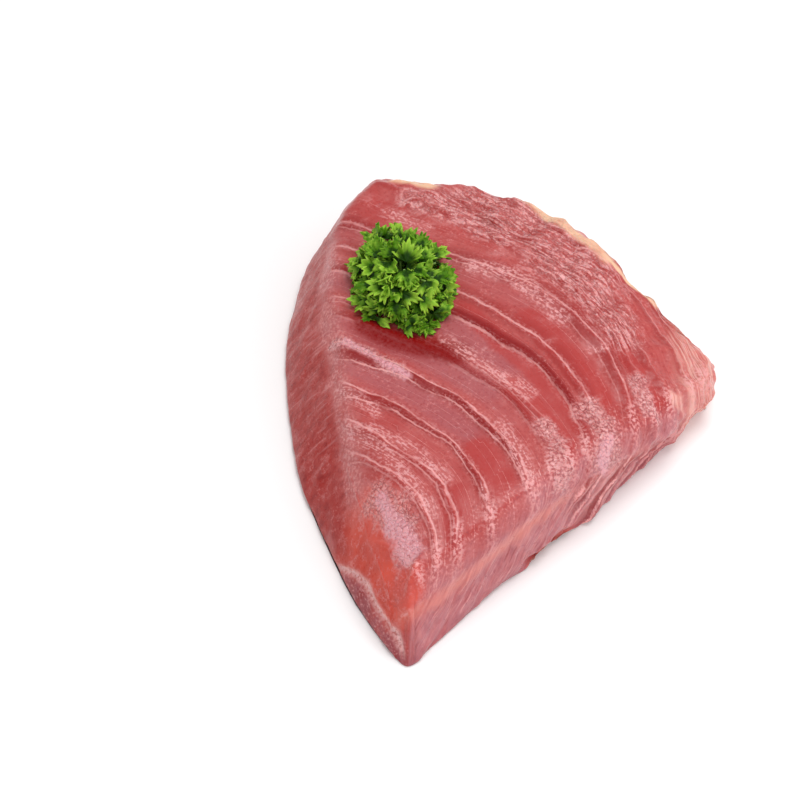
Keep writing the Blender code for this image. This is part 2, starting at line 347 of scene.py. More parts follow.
def blob(points, centre, reach, turn=0.0):
    """1 at the centre, falling to 0 past the reach, which is along and across the turned axis."""
    x, y = points[:, 0] - centre[0] * MM, points[:, 1] - centre[1] * MM
    c, s = math.cos(math.radians(turn)), math.sin(math.radians(turn))
    u, v = (x * c + y * s) / (reach[0] * MM), (y * c - x * s) / (reach[1] * MM)
    return np.exp(-2 * (u * u + v * v))


def strokes(points, zone):
    """1 on the middle lines of the zone's strokes, falling to a third at their half widths."""
    flat = points[:, :2] / MM
    most = np.zeros(len(points))
    for width, *path in zone:
        for start, end in zip(path, path[1:]):
            run = np.subtract(end, start)
            part = np.clip((flat - start) @ run / (run @ run), 0.0, 1.0)
            gap = np.linalg.norm(flat - start - part[:, None] * run, axis=1)
            most = np.maximum(most, bell(gap, 0.0, width))
    return most


# ---- steak's plan and size


def stations(along):
    row = spline(STATIONS, along) * MM
    upper = row[..., 0:2], row[..., 2:4], row[..., 4]
    lower = row[..., 5:7], row[..., 7:9], row[..., 4]
    return upper, lower


def arc(across):
    """Height of a band's arc, 1 at ARC_PEAK and 0 at both edges."""
    lean = ARC_PEAK / (1 - ARC_PEAK)
    return across**lean * (1 - across) / (ARC_PEAK**lean * (1 - ARC_PEAK))


def plan(edges, across):
    """Points across the stations in plan, on arcs that bow away from the front tip."""
    left, right, height = edges
    chord = right - left
    length = np.linalg.norm(chord, axis=-1, keepdims=True)
    outward = np.stack((-chord[..., 1], chord[..., 0]), -1) / np.maximum(length, 1e-6)
    return left + across[..., None] * chord + outward * (height * arc(across))[..., None]


def upper_height(flat, thickness):
    thinned = END_DROP * ease(*END_REACH, flat[..., 0])
    rolled = TIP_DROP * (1 - ease(*TIP_REACH, flat[..., 1]))
    return thickness - thinned - rolled


def raised(flat, z):
    """Points in plan, lifted to these heights."""
    return np.concatenate((flat, z[..., None]), -1)


def fillet(distance, radius):
    """How far a rounded edge lies below its flat, at this distance in from the edge."""
    inside = np.clip(radius - distance, 0.0, radius)
    return radius - np.sqrt(radius**2 - inside**2)


def roll_off(distance, reach, slope):
    """How far the upper face lies below its flat, where it bends down to this slope at the edge."""
    inside = np.clip(reach - distance, 0.0, reach)
    return slope * inside**3 / (3 * reach**2)


def crowded(count, crowding):
    """count + 1 places from 0 to 1, closer together near both ends."""
    even = np.linspace(0, 1, count + 1)
    return even + ((1 - np.cos(math.pi * even)) / 2 - even) * crowding


def gaps(points, others):
    """Distances from each of the points to each of the others."""
    return np.linalg.norm(points[:, None] - others[None], axis=-1)


def run_through(points):
    """Distance from the first point to each of them, along the line through them all."""
    steps = np.linalg.norm(np.diff(points, axis=0), axis=1)
    return np.concatenate(([0.0], np.cumsum(steps)))


def band_run():
    """Distance from the tip to each station, along a line about a third of the way across."""
    across = np.full(BANDS + 1, RUN_ACROSS)
    return run_through(plan(stations(np.arange(BANDS + 1) / BANDS)[0], across))


def places_along(count):
    """count + 1 places from 0 to 1, spread by the bands' widths, closer together on the seams."""
    run = band_run()
    even = np.interp(np.linspace(0, run[-1], count + 1), run, np.arange(BANDS + 1))
    return (even - np.sin(2 * math.pi * even) / (2 * math.pi) * SEAM_CROWDING) / BANDS


def rim_loop():
    """Grid places of the upper face's edge: left and back, end, cut side, tip."""
    i, j = np.arange(CELLS_ALONG), np.arange(CELLS_ACROSS)
    full_i, full_j = np.full(CELLS_ACROSS, CELLS_ALONG), np.full(CELLS_ALONG, CELLS_ACROSS)
    rows = np.concatenate((i, full_i, CELLS_ALONG - i, 0 * j))
    columns = np.concatenate((0 * i, j, full_j, CELLS_ACROSS - j))
    return rows, columns


def around(values, rounds):
    """Smooths values round a closed loop."""
    for _ in range(rounds):
        values = (np.roll(values, 1, 0) + 2 * values + np.roll(values, -1, 0)) / 4
    return values


def rim_shape(along, across, edge, lower, height):
    """How far in from the rim the upper face bends down, and its slope at the rim."""
    front = 1 - ease(*FRONT_ENDS, along)
    left = LEFT_REACH + (BACK_REACH - LEFT_REACH) * ease(*BACK_BEGINS, along)
    left = left + (FRONT_REACH - left) * front
    reach = left + (CUT_REACH - left) * across
    lean = ((lower - edge) * outward_plan(edge)).sum(1) / height
    steepest = STEEPEST_RIM + (STEEPEST_FRONT - STEEPEST_RIM) * front * (1 - across)
    slope = 1 / np.maximum(around(lean, LEAN_ROUNDS), 1 / steepest)
    return around(reach, RIM_ROUNDS), around(slope, RIM_ROUNDS)


def outward_plan(points):
    """Unit vectors that point out of a closed loop in plan, which runs clockwise."""
    step = np.roll(points, -1, 0) - np.roll(points, 1, 0)
    outward = np.stack((-step[:, 1], step[:, 0]), -1)
    return around(outward / np.linalg.norm(outward, axis=1, keepdims=True), OUTWARD_ROUNDS)


# ---- steak's surface


class Surface:
    """Vertices of the steak, where they lie along, across, down and to which side, and faces."""

    NAMES = ("along", "across", "depth", "side")

    def __init__(self, thickness):
        self.thickness = thickness
        self.points, self.faces, self.count = [], [], 0
        self.kept = {name: [] for name in self.NAMES}

    def add(self, points, along, across, depth, side):
        """Adds vertices and returns their numbers, in the same layout."""
        shape = np.shape(points)[:-1]
        numbers = self.count + np.arange(np.prod(shape)).reshape(shape)
        self.points.append(np.asarray(points).reshape(-1, 3))
        for name, values in zip(self.NAMES, (along, across, depth, side)):
            self.kept[name].append(np.broadcast_to(values, shape).ravel())
        self.count += numbers.size
        return numbers

    def quads(self, grid):
        corners = grid[:-1, :-1], grid[1:, :-1], grid[1:, 1:], grid[:-1, 1:]
        self.faces += np.stack(corners, -1).reshape(-1, 4).tolist()

    def finish(self):
        self.points = np.concatenate(self.points)
        for name in self.NAMES:
            setattr(self, name, np.concatenate(self.kept[name]))


def add_upper_face(surface):
    along = np.repeat(places_along(CELLS_ALONG)[:, None], CELLS_ACROSS + 1, 1)
    across = np.repeat(crowded(CELLS_ACROSS, RIM_CROWDING)[None], CELLS_ALONG + 1, 0)
    flat = plan(stations(along)[0], across)
    rim = rim_loop()
    edge = flat[rim]
    lower = plan(stations(along[rim])[1], across[rim])
    height = RIM_SHARE * surface.thickness
    reaches, slopes = rim_shape(along[rim], across[rim], edge, lower, height)
    z = upper_height(flat, surface.thickness)
    on_cut = across[rim] == 1.0
    for row in range(len(along)):
        to_edge, drops = gaps(flat[row], edge), []
        for part in (on_cut, ~on_cut):
            nearest = to_edge[:, part].argmin(1)
            gap = to_edge[:, part].min(1)
            drops.append(roll_off(gap, reaches[part][nearest], slopes[part][nearest]))
        z[row] -= np.linalg.norm(drops, ord=CORNER_NORM, axis=0)
    numbers = surface.add(raised(flat, z), along, across, 0.0, across)
    surface.quads(numbers)
    return numbers[rim], along[rim], across[rim], edge, z[rim]


def cut_side(edge, across):
    """1 on the cut side of the rim, 0 on the left and back, and between them round the corners."""
    from_left, from_cut = (gaps(edge, edge[across == end]).min(1) for end in (0.0, 1.0))
    return ease(*CORNER_BLEND, from_left - from_cut)


def add_walls(surface, rim_numbers, along, across, edge, rim_z):
    """Rows of vertices from under the rim down to the underside's edge."""
    up = (1 - crowded(CELLS_UP, WALL_CROWDING))[:, None]
    lower = plan(stations(along)[1], across)
    side = cut_side(edge, across)
    behind = ease(*BACK_BEGINS, along) * (1 - ease(0.9, 1.0, along))
    bulge = LEFT_BULGE + (BACK_BULGE - LEFT_BULGE) * behind
    swell = bulge * (1 - side) * np.sin(math.pi * up)
    z = rim_z * up
    tuck = fillet(z, BASE_RADIUS * (0.2 + 0.8 * ease(0.0, 0.1, along)))
    push = outward_plan(edge) * (swell - tuck)[..., None]
    flat = lower + up[..., None] * (edge - lower) + push
    depth = rim_z * (1 - up)
    rows = surface.add(raised(flat, z)[1:], along, across, depth[1:], side)
    rows = np.concatenate((rim_numbers[None], rows))
    surface.quads(np.concatenate((rows, rows[:, :1]), 1))
    return rows[-1]


def inset(places, margin):
    return places * (1 - 2 * margin) + margin


def add_underside(surface, edge_numbers):
    """A coarse flat grid, stitched to the fine edge of the walls."""
    along = inset(places_along(CELLS_ALONG // COARSE)[:, None], UNDER_MARGINS[0])
    across = inset(crowded(CELLS_ACROSS // COARSE, UNDER_CROWDING)[None], UNDER_MARGINS[1])
    along, across = np.broadcast_arrays(along, across)
    points = raised(plan(stations(along)[1], across), np.zeros(along.shape))
    numbers = surface.add(points, along, across, surface.thickness, across)
    surface.quads(numbers[::-1])
    rows, columns = rim_loop()
    inner = numbers[rows[::COARSE] // COARSE, columns[::COARSE] // COARSE]
    inner, fine = np.append(inner, inner[0]), np.append(edge_numbers, edge_numbers[0])
    for m in range(len(inner) - 1):
        start, middle = COARSE * m, COARSE * m + COARSE // 2
        for k in range(COARSE):
            held = inner[m] if k < COARSE // 2 else inner[m + 1]
            surface.faces.append((fine[start + k], held, fine[start + k + 1]))
        surface.faces.append((fine[middle], inner[m], inner[m + 1]))


def steak_surface(thickness):
    surface = Surface(thickness)
    rim = add_upper_face(surface)
    edge = add_walls(surface, *rim)
    add_underside(surface, edge)
    surface.finish()
    flat = surface.points[:, :2]
    flat -= (flat.min(0) + flat.max(0)) / 2
    return surface


def smooth(points, edges, rounds, weight):
    """Moves each point towards the mean of its neighbours."""
    a, b = edges.T
    count = np.bincount(edges.ravel(), minlength=len(points))[:, None]
    for _ in range(rounds):
        total = np.zeros_like(points)
        np.add.at(total, a, points[b])
        np.add.at(total, b, points[a])
        points = points + (total / count - points) * weight[:, None]
    return points


def mesh_edges(mesh):
    edges = np.empty(len(mesh.edges) * 2, np.int32)
    mesh.edges.foreach_get("vertices", edges)
    return edges.reshape(-1, 2)


def mesh_normals(mesh):
    normals = np.empty(len(mesh.vertices) * 3, np.float32)
    mesh.vertex_normals.foreach_get("vector", normals)
    return normals.reshape(-1, 3).astype(float)


def set_points(mesh, points):
    mesh.vertices.foreach_set("co", np.asarray(points, np.float32).ravel())
    mesh.update()


def linked(name, data):
    """A new object with this data, in the scene."""
    made = bpy.data.objects.new(name, data)
    bpy.context.collection.objects.link(made)
    return made


def set_attribute(mesh, name, values):
    kind, field = ("FLOAT_VECTOR", "vector") if values.ndim == 2 else ("FLOAT", "value")
    layer = mesh.attributes.new(name, kind, "POINT")
    layer.data.foreach_set(field, np.asarray(values, np.float32).ravel())


# ---- steak's bands and seams


def band_widths(along, across):
    """Distance between neighbouring seams."""
    step = 0.5 / BANDS
    ahead, behind = (plan(stations(along + way * step)[0], across) for way in (1, -1))
    to_right = plan(stations(along)[0], np.minimum(across + 0.02, 1.0))
    to_left = plan(stations(along)[0], np.maximum(across - 0.02, 0.0))
    run = to_right - to_left
    run /= np.maximum(np.linalg.norm(run, axis=1, keepdims=True), 1e-9)
    gap = ahead - behind
    width = np.abs(gap[:, 0] * run[:, 1] - gap[:, 1] * run[:, 0])
    return np.clip(width, 2 * MM, 20 * MM)


def low_edges(surface, rim_run, wander):
    """The lip at the base of the cut side, the pale ridge near the tip and what lies under it."""
    height, y = surface.points[:, 2], surface.points[:, 1] / MM
    on_lip = np.exp(-(((rim_run - LIP[0]) / LIP[1]) ** 4))
    lip = surface.side * on_lip * (1 - ease(0.4, 1.0, height / LIP[2]))
    ridge = np.interp(y, FLARE_PLACES, FLARE_HEIGHTS) + 0.5 * wander
    left = ease(1.0, 4.0, surface.depth / MM) * (1 - ease(0.5, 0.9, surface.side))
    front_left = left * (1 - ease(-47, -42, y))
    flare = bell(height / MM, ridge, FLARE_WIDTH) * front_left
    under = ease(0.0, 2.0, ridge - height / MM) * front_left
    return dict(lip=lip, flare=flare, under=under)


def band_layout(surface):
    """Where each vertex lies among the bands, which slide down the cut side towards the tip."""
    depth, side, across = surface.depth / MM, surface.side, surface.across
    places = np.linspace(0, 1, 400)
    run = run_through(stations(places)[0][1])
    rim_run = np.interp(surface.along, places, run)
    lean = side * np.interp(rim_run, SLIDE_PLACES, SLIDE)
    slope = lean * ease(0.0, 1.0, depth)
    place = np.interp(rim_run + lean * depth * MM, run, places)
    width = band_widths(place, across) / np.sqrt(1 + slope**2)
    wander = layered_noise(surface.points, 9 * MM, 11)
    chord = np.linalg.norm(np.subtract(*stations(place)[0][:2]), axis=1)
    outward = surface.depth * (2 * side - 1)
    spread = np.interp(surface.along * BANDS, np.arange(BANDS + 1), band_run())
    down = surface.depth - side * (1 - across) * chord
    return SimpleNamespace(
        band=place * BANDS + SEAM_WANDER * wander / width,
        width=width,
        flow=np.stack((across * chord + outward, spread, 0.3 * surface.depth), -1),
        wall=np.stack((down - lean * rim_run, rim_run + lean * down, side * MM), -1),
        depth=depth,
        inset=across * chord / MM - depth,
        cut_inset=(1 - across) * chord / MM - depth,
        top=1 - ease(0.5, 5.0, depth),
        ribs=side * ease(*RIBS_BEGIN, rim_run),
        **low_edges(surface, rim_run, wander),
    )


def seam_fields(surface, layout):
    """Relief of the seams, and fields for their lines, dark strips, and their frayed ends near the
    cut side, which get painted glints.
    """
    relief, deep = np.zeros_like(layout.band), np.zeros_like(layout.band)
    gap, line = np.full_like(relief, 9.0), np.zeros_like(relief)
    # Where the bands' frayed ends near the cut side get specks of painted highlight.
    frayed = bell(layout.cut_inset, 4.5, 3.5) * layout.top
    twin_gap, twin = gap.copy(), line.copy()
    on_wall = 1.6 * layout.ribs * ease(0.5, 3.0, layout.depth)
    faded = 1 - 0.7 * ease(0.8, 0.98, surface.across)
    upper = layout.top * faded * ease(0.5, 4.5, layout.inset)
    shown = np.maximum(upper, on_wall)
    vary = 1 + 0.4 * layered_noise(surface.points, 14 * MM, 21)
    for station, (strength, groove, *groove_widths) in SEAMS.items():
        ledge, *ledge_widths = LEDGES.get(station, NO_LEDGE)
        x = (layout.band - station) * layout.width / MM
        groove_width = np.interp(surface.across, (0, 1), groove_widths) * vary
        ledge_width = np.interp(surface.across, (0, 1), ledge_widths) * vary
        inside = ease(-groove_width - 1.0, -groove_width + 0.7, x) * (1 - ease(-0.5, 0.1, x))
        beyond = ease(-0.1, 0.4, x) * (1 - ease(0.3 * ledge_width, 1.4 * ledge_width, x))
        lip = 0.14 * strength * bell(x, 0.25, 0.45)
        relief += (lip - groove * inside - ledge * beyond) * MM * shown
        deep = np.maximum(deep, np.maximum(inside * groove, beyond * ledge) / 0.5 * shown)
        nearer = np.abs(x) < np.abs(gap)
        gap, line = np.where(nearer, x, gap), np.where(nearer, strength * shown, line)
        beside = x + groove_width
        nearer = np.abs(beside) < np.abs(twin_gap)
        paired = TWINS.get(station, 0.0) * shown * layout.top
        twin_gap, twin = np.where(nearer, beside, twin_gap), np.where(nearer, paired, twin)
    fields = dict(gap=gap, twin_gap=twin_gap, line=line, twin=twin, deep=deep, frayed=frayed)
    return relief, {name: np.clip(values, -4, 4) for name, values in fields.items()}


def waves(name, points):
    depth, size, seed = RELIEF[name]
    return depth * MM * layered_noise(points, np.multiply(size, MM), seed)


def patch_tilt(points):
    """Rise of the wet patches, which tip towards the front."""
    tilt = 0.0
    for centre, reach, turn, slope in PATCHES:
        ahead = points[:, 1] - centre[1] * MM
        rise = math.tan(math.radians(slope)) * TILT_RUN * np.tanh(ahead / TILT_RUN)
        tilt = tilt + rise * blob(points, centre, reach, turn)
    return tilt


def steak_relief(surface, layout, seams, zones):
    """How far each vertex moves along its normal, which points into the flesh."""
    points, flow, side, top = surface.points, layout.flow, surface.side, layout.top
    fraction = layout.band % 1.0
    crown = 1 - (2 * fraction - 1) ** 2
    late = ease(0.45, 0.9, surface.across) * ease(5.0, 8.0, layout.band)
    pillow = (PILLOW + MORE_PILLOW * late) * crown * np.maximum(top, side)
    flakes = layered_noise(flow, (4 * MM, 2.0 * MM, 3 * MM), 41) + noise(points, 1.8 * MM, 45)
    over = pillow + FLAKE * zones["flaky"] * flakes + waves("fibres", flow) * top
    over += waves("swell", points) + patch_tilt(points) * top
    broad = ease(1.2 * MM, 3.0 * MM, layout.width)
    rib = ease(0.0, 0.2, 1.0 - fraction) * broad * layout.ribs * (1 - top)
    low = ease(0.45, 1.0, layout.depth * MM / surface.thickness)
    walls = LEDGE * (fraction - 0.4) * rib
    walls += side * (1 - top) * (waves("layers", layout.wall) + waves("lumps", points))
    walls += side * low * waves("scallops", points)
    walls += (1 - side) * (1 - top) * waves("ripples", points)
    walls += LIP[3] * layout.lip * (1 + 0.3 * layered_noise(points, 4 * MM, 66))
    walls += FLARE_RISE * MM * layout.flare
    walls += ease(0.55, 0.75, surface.along) * waves("ragged", points)
    return seams + over + walls


def zone_fields(surface, layout):
    """Strength of each kind of flesh at each vertex, from 0 to 1."""
    points, top = surface.points, layout.top
    blur = 0.35 * layered_noise(points, 7 * MM, 71)
    torn = 0.30 * layered_noise(points, 2.5 * MM, 75)
    fraction = layout.band % 1.0
    grey = sum(
        amount * ease(0.0, 0.5, fraction) * (np.floor(layout.band) == number)
        for number, amount in GREY_BANDS.items()
    )
    grey = grey * (1 - ease(0.5, 0.85, surface.across)) + strokes(points, GREYISH)
    left = (1 - surface.side) * ease(-3.5, 3.0, 3 * blur - layout.inset)
    rimmed = bell(layout.depth - 3 * blur, 3.0, 2.2) * surface.side
    rimmed = rimmed * ease(0.2, 1.5, layout.depth)
    zones = {
        name: ease(low, high, strokes(points, paths) + broad * blur + fine * torn)
        for name, ((low, high, broad, fine), *paths) in ZONES.items()
    }
    for name in ON_TOP:
        zones[name] = zones[name] * top
    zones["fat"] = zones["fat"] * (1 - ease(3, 12, layout.depth))
    zones["shoulder"] = zones["shoulder"] * (1 - surface.side)
    return {
        **zones,
        "foot": surface.side * (1 - ease(0.5 * MM, 5.0 * MM, points[:, 2])),
        # Painted highlight along the middle of each rib on the cut side.
        "crest": layout.ribs * (1 - top) * bell(fraction, 0.5, 0.28),
        "left": left,
        "membrane": surface.side * ease(-5.0, 2.0, 5 * blur - layout.cut_inset),
        "rimmed": rimmed * (1 - 0.7 * layout.ribs),
        "grey": np.clip(grey, 0.0, 1.0) * top,
        **{name: vars(layout)[name] for name in ("ribs", "lip", "flare", "under")},
    }


def make_steak(thickness):
    surface = steak_surface(thickness)
    mesh = bpy.data.meshes.new("tuna_flesh")
    mesh.from_pydata(surface.points.tolist(), [], surface.faces)
    mesh.update()
    still = 0.5 * ease(0.2 * MM, 1.5 * MM, surface.points[:, 2])
    surface.points = smooth(surface.points, mesh_edges(mesh), SMOOTHING_ROUNDS, still)
    set_points(mesh, surface.points)
    normals = mesh_normals(mesh)
    layout = band_layout(surface)
    zones = zone_fields(surface, layout)
    seams, seam_lines = seam_fields(surface, layout)
    relief = steak_relief(surface, layout, seams, zones)
    relief *= np.maximum(ease(0.0, 1.5 * MM, surface.points[:, 2]), layout.lip)
    points = surface.points + normals * relief[:, None]
    points[:, 2] = np.maximum(points[:, 2], 0.0)
    set_points(mesh, points)
    fields = {"flow": layout.flow, "wall": layout.wall, **seam_lines, **zones}
    for name, values in fields.items():
        set_attribute(mesh, name, values)
    mesh.shade_smooth()
    mesh.materials.append(flesh_look())
    return linked("tuna_flesh", mesh)


# ---- looks


def colour(red, green, blue):
    """A screen colour as the linear values that shaders take."""
    values = (c / 255 for c in (red, green, blue))
    return tuple(v / 12.92 if v <= 0.04045 else ((v + 0.055) / 1.055) ** 2.4 for v in values) + (1,)


class Look:
    """A material's nodes, added one call at a time."""

    def __init__(self, name):
        self.material = bpy.data.materials.new(name)
        self.material.use_nodes = True
        self.tree = self.material.node_tree
        self.shader = self.tree.nodes["Principled BSDF"]
        self.named = {}

    def node(self, kind, settings=(), *first, **named):
        """A node with these settings, values for its first inputs and values for named inputs."""
        node = self.tree.nodes.new(kind)
        for name, value in dict(settings).items():
            setattr(node, name, value)
        for socket, value in zip(node.inputs, first):
            self.put(socket, value)
        for name, value in named.items():
            self.put(node.inputs[name.replace("_", " ")], value)
        return node

    def put(self, socket, value):
        if isinstance(value, bpy.types.NodeSocket):
            self.tree.links.new(value, socket)
        else:
            socket.default_value = value

    def set(self, **inputs):
        for name, value in inputs.items():
            self.put(self.shader.inputs[name.replace("_", " ")], value)

    def attribute(self, name, output="Fac"):
        return self.node("ShaderNodeAttribute", {"attribute_name": name}).outputs[output]

    def math(self, operation, *values):
        return self.node("ShaderNodeMath", {"operation": operation}, *values).outputs[0]

    def ramp(self, value, low, high, start=0.0, end=1.0):
        """start below low, end above high, eased between."""
        settings = {"interpolation_type": "SMOOTHSTEP"}
        return self.node("ShaderNodeMapRange", settings, value, low, high, start, end).outputs[0]

    def mix(self, factor, first, second):
        node = self.node("ShaderNodeMix", {"data_type": "RGBA"})
        sockets = node.inputs[0], node.inputs[6], node.inputs[7]
        for socket, value in zip(sockets, (factor, first, second)):
            self.put(socket, value)
        return node.outputs[2]

    def field(self, name):
        """The noise that was given this name, or else the mesh's attribute."""
        return self.named[name] if name in self.named else self.attribute(name)

    def amount(self, item):
        """A number or socket as it is, a field by its name, or a ramp by (name, *limits)."""
        if isinstance(item, str):
            return self.field(item)
        if isinstance(item, tuple):
            return self.ramp(self.field(item[0]), *item[1:])
        return item

    def product(self, *items):
        total = self.amount(items[0])
        for item in items[1:]:
            total = self.math("MULTIPLY", total, self.amount(item))
        return total

    def cover(self, base, other, *items):
        """The base covered with the other colour, by the product of the items."""
        return self.mix(self.product(*items), base, other)

    def scaled(self, vector, scale):
        settings = {"operation": "MULTIPLY"}
        return self.node("ShaderNodeVectorMath", settings, vector, scale).outputs[0]

    def counted(self, vector, size):
        """The vector counted in this many millimetres, which may be a size for each axis."""
        sizes = (size,) * 3 if isinstance(size, (int, float)) else size
        return self.scaled(vector, tuple(1 / (s * MM) for s in sizes))

    def noise(self, vector, size, detail=3.0, distortion=0.0):
        """Noise from 0 to 1, with features of this size in millimetres, or a size for each axis."""
        inputs = {"Scale": 1.0, "Detail": detail, "Distortion": distortion}
        place = self.counted(vector, size)
        return self.node("ShaderNodeTexNoise", (), Vector=place, **inputs).outputs["Fac"]

    def cells(self, vector, size):
        """Distance to the nearest edge between cells of this size in millimetres."""
        settings, place = {"feature": "DISTANCE_TO_EDGE"}, self.counted(vector, size)
        node = self.node("ShaderNodeTexVoronoi", settings, Vector=place, Scale=1.0)
        return node.outputs["Distance"]

    def warped(self, vector, size, reach):
        """The vector, pushed about by up to this many millimetres, over waves of this size."""
        place = self.counted(vector, size)
        sway = self.node("ShaderNodeTexNoise", (), Vector=place, Scale=1.0, Detail=2.0)
        settings, span = {"operation": "MULTIPLY_ADD"}, (2 * reach * MM,) * 3
        values = sway.outputs["Color"], span, vector
        return self.node("ShaderNodeVectorMath", settings, *values).outputs[0]

    def creases(self, noise):
        """0 where the noise crosses its middle, rising to either side."""
        return self.math("ABSOLUTE", self.math("MULTIPLY_ADD", noise, 4.0, -2.0))

    def bump(self, height, millimetres, before=None):
        """Raises the surface by up to this much where height is 1."""
        node = self.node("ShaderNodeBump", (), Height=height, Distance=millimetres * MM)
        if before is not None:
            self.put(node.inputs["Normal"], before)
        return node.outputs["Normal"]


# Flesh colours.
RED = colour(172, 66, 64)
PINK = colour(184, 88, 86)
CLEAR = colour(174, 58, 56)
DEEP = colour(134, 28, 30)
# The darkest red: the painted shadow of the sprig, and dark streaks on the left side.
SHADE = colour(128, 2, 2)
DUSK = colour(150, 74, 84)
# Painted highlight: a pale wet film.
HIGHLIGHT_FILM = colour(226, 164, 174)
GREY = colour(168, 88, 92)
BLOOM = colour(220, 84, 66)
LEFT = colour(166, 50, 44)
MAUVE = colour(180, 113, 119)
# Silvery skin, and painted highlight on patches, crests, specks and glints.
SILVER_AND_SHEEN = colour(222, 158, 158)
GLARE = colour(238, 186, 184)
# Seam lines: partly white seam tissue, partly painted highlight.
LINE = colour(238, 172, 170)
PALE = colour(212, 134, 132)
PEACH = colour(218, 132, 120)
END = colour(206, 122, 114)
EDGE = colour(232, 184, 172)
CREAM = colour(236, 190, 158)

# Layers of colour over the flesh, from the lowest up: colour, strength, and what limits it, which
# is a zone or noise by name, or (name, low, high, start, end) for its ramp.
LAYERS = (
    # plain flesh, with painted highlight along the left shoulder and the painted shadow of the
    # sprig
    (GREY, 0.8, "grey"),
    (CLEAR, 0.8, "smooth"),
    (DEEP, 0.85, "deep", ("fibre", 0.2, 0.5, 0.6, 1.0)),
    (LEFT, 1.0, "left", ("patchy", 0.2, 0.6, 1.0, 0.8)),
    (DEEP, 0.3, ("flecks", 0.30, 0.46, 1.0, 0.0), ("smooth", 0.0, 1.0, 1.0, 0.25)),
    (PALE, 0.45, ("flecks", 0.54, 0.70), ("patchy", 0.42, 0.62), ("smooth", 0.0, 1.0, 1.0, 0.25)),
    (PALE, 0.42, "shoulder", ("fibre", 0.3, 0.7, 0.5, 1.0)),
    (SILVER_AND_SHEEN, 0.35, ("shoulder", 0.7, 1.0), ("flecks", 0.46, 0.62)),
    (SHADE, 1.0, "shade", ("flecks", 0.3, 0.6, 1.0, 0.8)),
    # left and back
    (PALE, 0.20, "left", ("mottle", 0.54, 0.72)),
    (DEEP, 0.5, "left", ("mottle", 0.32, 0.46, 1.0, 0.0)),
    (SILVER_AND_SHEEN, 0.30, "left", ("upright", 0.54, 0.72)),
    (SHADE, 0.30, "left", ("upright", 0.30, 0.46, 1.0, 0.0)),
    # silvery skin of the cut side
    (MAUVE, 1.0, "membrane", ("sheets", 0.3, 0.6, 0.45, 0.9)),
    (SILVER_AND_SHEEN, 0.55, "membrane", ("strands", 0.54, 0.74)),
    (DEEP, 0.45, "membrane", ("strands", 0.33, 0.43, 1.0, 0.0)),
    (PALE, 0.3, "membrane", ("mottle", 0.52, 0.72)),
    (DUSK, 0.4, "membrane", ("mottle", 0.30, 0.46, 1.0, 0.0)),
    (DEEP, 0.85, ("deep", 0.2, 0.9), "membrane", "ribs"),
    # orange flesh behind the tip
    (BLOOM, 1.0, "bloom", ("sheets", 0.3, 0.6, 1.0, 0.6), ("patchy", 0.3, 0.6, 1.0, 0.8)),
    (PALE, 0.4, "bloom", ("crackle", 0.03, 0.20, 1.0, 0.0), ("mottle", 0.45, 0.6)),
    (SILVER_AND_SHEEN, 0.15, "left", ("crackle", 0.03, 0.20, 1.0, 0.0), ("mottle", 0.45, 0.6)),
    # edges, ribs with painted highlight on their crests, lip and ridge of the walls
    (PEACH, 0.65, "rimmed", ("sheets", 0.3, 0.6, 0.4, 1.0)),
    (SILVER_AND_SHEEN, 0.7, "crest", ("sheets", 0.3, 0.6, 0.5, 1.0)),
    (DUSK, 0.6, "foot", ("sheets", 0.3, 0.6, 0.6, 1.0)),
    (CLEAR, 0.9, "lip"),
    (END, 0.5, "lip", ("sheets", 0.4, 0.6, 0.0, 1.0)),
    (DUSK, 0.7, "under", ("mottle", 0.3, 0.6, 0.5, 1.0)),
    (SILVER_AND_SHEEN, 0.5, "under", ("flecks", 0.52, 0.66)),
    (GLARE, 1.0, "flare", ("flecks", 0.36, 0.54, 0.4, 1.0), ("mottle", 0.3, 0.5, 0.6, 1.0)),
    # right-hand end
    (END, 0.8, "end", ("fibre", 0.3, 0.6, 0.6, 1.0)),
    (EDGE, 0.65, "end", ("layered", 0.40, 0.64)),
    # streaks of painted highlight, and flakes with painted glints
    (PALE, 0.20, "streaked"),
    (SILVER_AND_SHEEN, 0.75, "streaked", "specks"),
    (PALE, 0.8, "flaky", ("flakes", 0.36, 0.56)),
    (SILVER_AND_SHEEN, 0.8, "flaky", "glints"),
    (DEEP, 0.45, "flaky", ("torn", 0.03, 0.22, 1.0, 0.0)),
    # wet patches with painted highlight, and cracks
    (PALE, 0.35, "gloss"),
    (DUSK, 0.45, "gloss", ("flecks", 0.34, 0.48, 1.0, 0.0)),
    (SILVER_AND_SHEEN, 0.68, "gloss", ("flecks", 0.40, 0.62)),
    (DEEP, 0.5, "cracked", ("cracks", 0.02, 0.13, 1.0, 0.0), ("wide", 0.35, 0.6, 0.2, 1.0)),
    (HIGHLIGHT_FILM, 0.72, "film", ("flecks", 0.30, 0.52, 0.5, 1.0)),
    # fat
    (CREAM, 1.0, "fat", ("patchy", 0.3, 0.6, 0.6, 0.95)),
    # frayed ends of the bands, at the cut side, with specks of painted highlight
    (SILVER_AND_SHEEN, 0.25, "frayed", ("flecks", 0.50, 0.66)),
    (DUSK, 0.25, "frayed", ("flecks", 0.34, 0.46, 1.0, 0.0)),
    (SILVER_AND_SHEEN, 0.85, "frayed", "near_seam", ("flecks", 0.42, 0.58)),
)


# Zones that are less wet, and how much of the wet coat is left where they are strongest.
# The painted shadow of the sprig keeps no coat, so that no reflection lightens it.
DRY_ZONES = {"left": 0.1, "shade": 0.0, "deep": 0.2}


